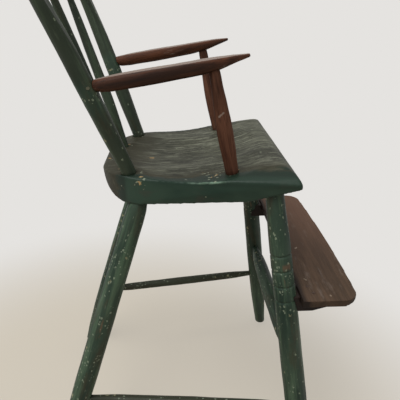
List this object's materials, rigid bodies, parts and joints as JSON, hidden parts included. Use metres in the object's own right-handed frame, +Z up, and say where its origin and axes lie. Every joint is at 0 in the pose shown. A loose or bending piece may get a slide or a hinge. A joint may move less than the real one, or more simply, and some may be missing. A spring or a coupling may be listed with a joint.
{
  "type": "youth chair",
  "caption": "Plank-bottom youth chair with a dished seat, splayed turned legs and stretchers, a spindle back, open arms and a board footrest, in worn green paint and brown wood",
  "frame": {"origin": "on the floor under the middle of the chair's bounding box", "axes": "X across the chair with the sitter's left at +X, the sitter faces -Y, Z up"},
  "size_m": [0.4614, 0.5132, 0.8831],
  "materials": {
    "seat_paint": "worn olive green paint",
    "green_paint": "worn dark green paint",
    "brown_wood": "dark red-brown worn finish",
    "board_wood": "dull brown worn wood",
    "peg_wood": "worn end grain",
    "iron": "dark forged nails"
  },
  "bodies": {
    "root": {"seat": "seat_paint", "front_leg_left": "green_paint", "front_leg_right": "green_paint", "rear_leg_left": "green_paint", "rear_leg_right": "green_paint", "front_stretcher": "green_paint", "side_stretcher_left": "green_paint", "side_stretcher_right": "green_paint", "rear_stretcher": "green_paint", "back_post_left": "green_paint", "back_post_right": "green_paint", "spindle_left": "green_paint", "spindle_right": "green_paint", "crest_rail": "green_paint", "arm_left": "brown_wood", "arm_right": "brown_wood", "arm_post_left": "brown_wood", "arm_post_right": "brown_wood", "footrest_bracket_left": "brown_wood", "footrest_bracket_right": "brown_wood", "footrest": "board_wood", "footrest_nails": "iron", "bracket_nails": "iron", "crest_pegs": "peg_wood", "arm_pegs": "peg_wood"}
  },
  "joints": []
}
